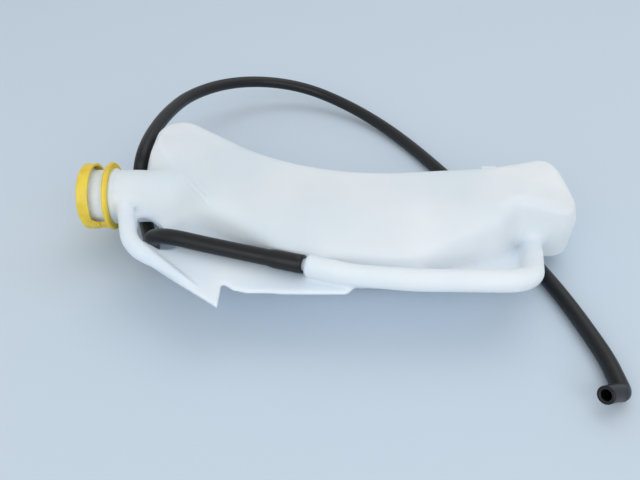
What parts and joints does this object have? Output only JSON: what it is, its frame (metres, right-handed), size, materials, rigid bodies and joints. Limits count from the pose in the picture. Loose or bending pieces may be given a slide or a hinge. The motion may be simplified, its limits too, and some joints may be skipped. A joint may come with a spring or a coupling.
{
  "type": "coolant expansion tank",
  "caption": "Translucent blow-moulded coolant expansion tank lying on its back, with a tethered yellow snap cap, a moulded feed tube, an overflow arm and a black rubber hose.",
  "frame": {"origin": "on the flat back of the bottle, under its middle", "axes": "+X along the bottle away from the neck, +Z out of the front face, +Y towards the hump side"},
  "size_m": [0.422, 0.466, 0.0774],
  "materials": {
    "tank": "milky blow-moulded polyethylene, satin",
    "filler_cap": "yellow moulded polyethylene, satin",
    "cap_tether": "yellow moulded polyethylene, satin",
    "hose": "smooth black EPDM"
  },
  "bodies": {
    "bottle": {"tank": "tank", "hose": "hose"},
    "tether": {"cap_tether": "cap_tether"},
    "cap": {"filler_cap": "filler_cap"}
  },
  "joints": [
    {"name": "tether_swivel", "type": "hinge", "parent": "bottle", "child": "tether", "pos_m": [-0.1824, 0.025, 0.048], "axis": [1, 0, 0], "continuous": true},
    {"name": "cap_hinge", "type": "hinge", "parent": "tether", "child": "cap", "pos_m": [-0.18825, -0.00143, 0.03732], "axis": [0, -0.3746, 0.9272], "range_deg": [0, 110]}
  ]
}
